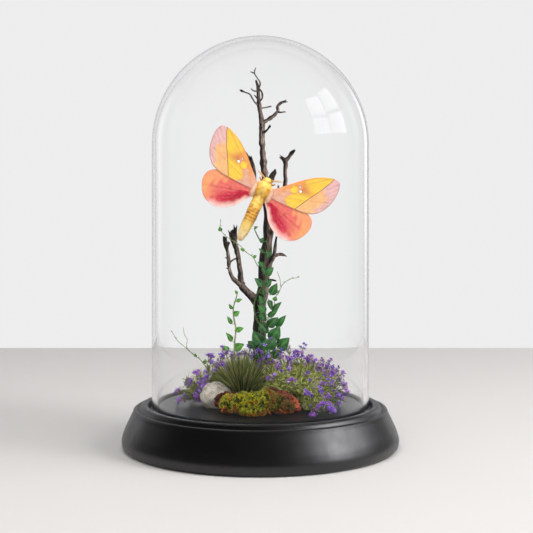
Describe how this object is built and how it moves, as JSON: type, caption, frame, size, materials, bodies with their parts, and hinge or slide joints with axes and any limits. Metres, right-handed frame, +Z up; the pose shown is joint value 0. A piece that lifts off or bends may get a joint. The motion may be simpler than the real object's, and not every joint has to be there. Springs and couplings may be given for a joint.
{
  "type": "insect in glass dome",
  "caption": "Pink and yellow moth mounted on a bare dead branch with a climbing vine, dried flowers, grass, stone and moss, on a black turned base under a clear glass dome",
  "frame": {"origin": "middle of the base's underside, at the centre of the object's bounding box from below", "axes": "+Z up, the front with the moth's back faces -Y, +X to the right when looking at the front"},
  "size_m": [0.1402, 0.1402, 0.2079],
  "materials": {
    "base": "black satin lacquer",
    "dome": "clear polished",
    "branch": "charred and weathered",
    "moth": "soft velvety scales",
    "leaf": "glossy leaf",
    "tendril": "satin leaf and fine stem",
    "stone": "rough speckled",
    "bark": "rough bark",
    "moss": "matt fibrous moss",
    "grass": "dry blades",
    "flower": "dry matt petals and leaflets"
  },
  "bodies": {
    "root": {"base": "base", "glass_dome": "dome", "trunk": "branch", "leader": "branch", "upper_left_twig": "branch", "upper_right_branch": "branch", "broken_limb": "branch", "right_limb": "branch", "right_fork": "branch", "left_limb": "branch", "left_limb_inner": "branch", "left_limb_outer": "branch", "moth": "moth", "climbing_vine": "leaf", "left_shoot": "tendril", "upper_tendril": "tendril", "right_tendril": "tendril", "far_left_tendril": "tendril", "stone": "stone", "bark": "bark", "moss": "moss", "grass_tuft": "grass", "right_flowers": "flower", "left_flowers": "flower", "back_flowers": "flower"}
  },
  "joints": []
}
